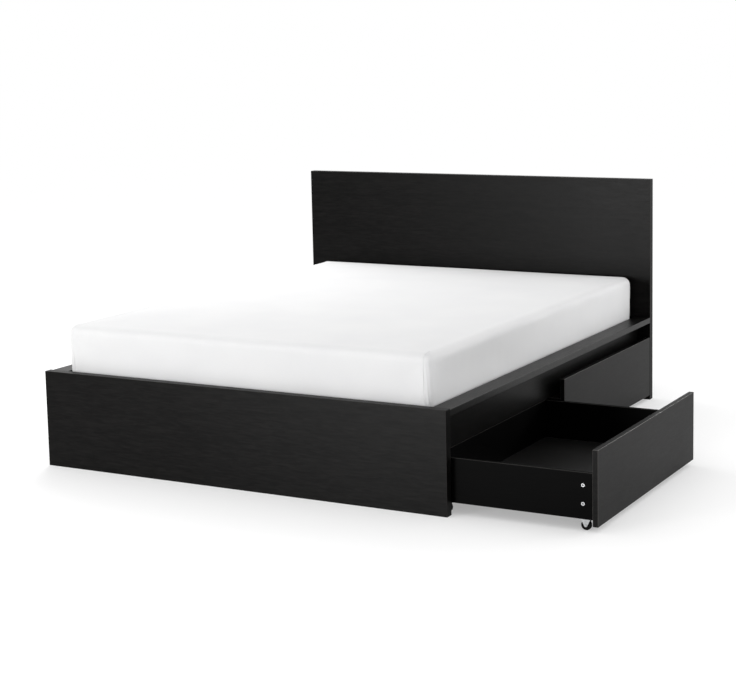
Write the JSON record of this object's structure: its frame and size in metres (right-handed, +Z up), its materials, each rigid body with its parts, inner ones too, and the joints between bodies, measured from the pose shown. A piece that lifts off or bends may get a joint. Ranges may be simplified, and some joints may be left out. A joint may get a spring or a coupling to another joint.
{
  "type": "platform bed with storage drawers",
  "caption": "Low double platform bed with panel headboard and footboard, a white mattress and long storage drawers that roll out from one side on casters.",
  "frame": {"origin": "on the floor at the middle of the bed frame, under the centre leg", "axes": "+Z up, +Y towards the headboard, +X towards the side that the drawers roll out of"},
  "size_m": [2.304, 2.09, 1],
  "materials": {
    "black_brown_board": "satin",
    "black_panel": "satin",
    "pine": "matte",
    "zinc_steel": "satin",
    "black_plastic": "satin",
    "webbing": "matte",
    "white_cotton": "matte"
  },
  "bodies": {
    "root": {"headboard": "black_brown_board", "footboard": "black_brown_board", "ledge_right": "black_brown_board", "ledge_left": "black_brown_board", "rail_right": "black_brown_board", "rail_left": "black_brown_board", "batten_right": "pine", "batten_left": "pine", "corner_brackets": "zinc_steel", "corner_bolts": "zinc_steel", "frame_screws": "zinc_steel", "midbeam_outer": "zinc_steel", "midbeam_inner": "zinc_steel", "midbeam_cradles": "zinc_steel", "midbeam_screws": "zinc_steel", "centre_leg": "zinc_steel", "centre_foot": "black_plastic", "slats_right": "pine", "slats_left": "pine", "slat_bands": "webbing", "mattress": "white_cotton"},
    "drawer_a": {"drawer_a_front": "black_brown_board", "drawer_a_side_left": "black_panel", "drawer_a_side_right": "black_panel", "drawer_a_back": "black_panel", "drawer_a_bottom_left": "black_panel", "drawer_a_bottom_right": "black_panel", "drawer_a_brace": "black_panel", "drawer_a_cam_locks": "zinc_steel", "drawer_a_cam_bolts": "zinc_steel", "drawer_a_screws": "zinc_steel", "drawer_a_caster_brackets": "zinc_steel", "drawer_a_caster_axles": "zinc_steel"},
    "drawer_b": {"drawer_b_front": "black_brown_board", "drawer_b_side_left": "black_panel", "drawer_b_side_right": "black_panel", "drawer_b_back": "black_panel", "drawer_b_bottom_left": "black_panel", "drawer_b_bottom_right": "black_panel", "drawer_b_brace": "black_panel", "drawer_b_cam_locks": "zinc_steel", "drawer_b_cam_bolts": "zinc_steel", "drawer_b_screws": "zinc_steel", "drawer_b_caster_brackets": "zinc_steel", "drawer_b_caster_axles": "zinc_steel"},
    "drawer_a_wheel_front_left": {"drawer_a_wheel_front_left": "black_plastic"},
    "drawer_a_wheel_front_right": {"drawer_a_wheel_front_right": "black_plastic"},
    "drawer_a_wheel_rear_left": {"drawer_a_wheel_rear_left": "black_plastic"},
    "drawer_a_wheel_rear_right": {"drawer_a_wheel_rear_right": "black_plastic"},
    "drawer_b_wheel_front_left": {"drawer_b_wheel_front_left": "black_plastic"},
    "drawer_b_wheel_front_right": {"drawer_b_wheel_front_right": "black_plastic"},
    "drawer_b_wheel_rear_left": {"drawer_b_wheel_rear_left": "black_plastic"},
    "drawer_b_wheel_rear_right": {"drawer_b_wheel_rear_right": "black_plastic"}
  },
  "joints": [
    {"name": "drawer_a_slide", "type": "slide", "parent": "root", "child": "drawer_a", "axis": [1, 0, 0], "range_m": [-0.544, 0.08]},
    {"name": "drawer_b_slide", "type": "slide", "parent": "root", "child": "drawer_b", "axis": [1, 0, 0], "range_m": [0, 0.624]},
    {"name": "drawer_a_wheel_front_left_spin", "type": "hinge", "parent": "drawer_a", "child": "drawer_a_wheel_front_left", "pos_m": [1.371, -0.978, 0.018], "axis": [0, 1, 0], "continuous": true},
    {"name": "drawer_a_wheel_front_right_spin", "type": "hinge", "parent": "drawer_a", "child": "drawer_a_wheel_front_right", "pos_m": [1.371, -0.044, 0.018], "axis": [0, 1, 0], "continuous": true},
    {"name": "drawer_a_wheel_rear_left_spin", "type": "hinge", "parent": "drawer_a", "child": "drawer_a_wheel_rear_left", "pos_m": [0.849, -0.978, 0.018], "axis": [0, 1, 0], "continuous": true},
    {"name": "drawer_a_wheel_rear_right_spin", "type": "hinge", "parent": "drawer_a", "child": "drawer_a_wheel_rear_right", "pos_m": [0.849, -0.044, 0.018], "axis": [0, 1, 0], "continuous": true},
    {"name": "drawer_b_wheel_front_left_spin", "type": "hinge", "parent": "drawer_b", "child": "drawer_b_wheel_front_left", "pos_m": [0.827, 0.044, 0.018], "axis": [0, 1, 0], "continuous": true},
    {"name": "drawer_b_wheel_front_right_spin", "type": "hinge", "parent": "drawer_b", "child": "drawer_b_wheel_front_right", "pos_m": [0.827, 0.978, 0.018], "axis": [0, 1, 0], "continuous": true},
    {"name": "drawer_b_wheel_rear_left_spin", "type": "hinge", "parent": "drawer_b", "child": "drawer_b_wheel_rear_left", "pos_m": [0.305, 0.044, 0.018], "axis": [0, 1, 0], "continuous": true},
    {"name": "drawer_b_wheel_rear_right_spin", "type": "hinge", "parent": "drawer_b", "child": "drawer_b_wheel_rear_right", "pos_m": [0.305, 0.978, 0.018], "axis": [0, 1, 0], "continuous": true}
  ],
  "couplings": [
    {"joint": "drawer_a_wheel_front_left_spin", "follows": "drawer_a_slide", "rad_per_m": 55.556},
    {"joint": "drawer_a_wheel_front_right_spin", "follows": "drawer_a_slide", "rad_per_m": 55.556},
    {"joint": "drawer_a_wheel_rear_left_spin", "follows": "drawer_a_slide", "rad_per_m": 55.556},
    {"joint": "drawer_a_wheel_rear_right_spin", "follows": "drawer_a_slide", "rad_per_m": 55.556},
    {"joint": "drawer_b_wheel_front_left_spin", "follows": "drawer_b_slide", "rad_per_m": 55.556},
    {"joint": "drawer_b_wheel_front_right_spin", "follows": "drawer_b_slide", "rad_per_m": 55.556},
    {"joint": "drawer_b_wheel_rear_left_spin", "follows": "drawer_b_slide", "rad_per_m": 55.556},
    {"joint": "drawer_b_wheel_rear_right_spin", "follows": "drawer_b_slide", "rad_per_m": 55.556}
  ]
}
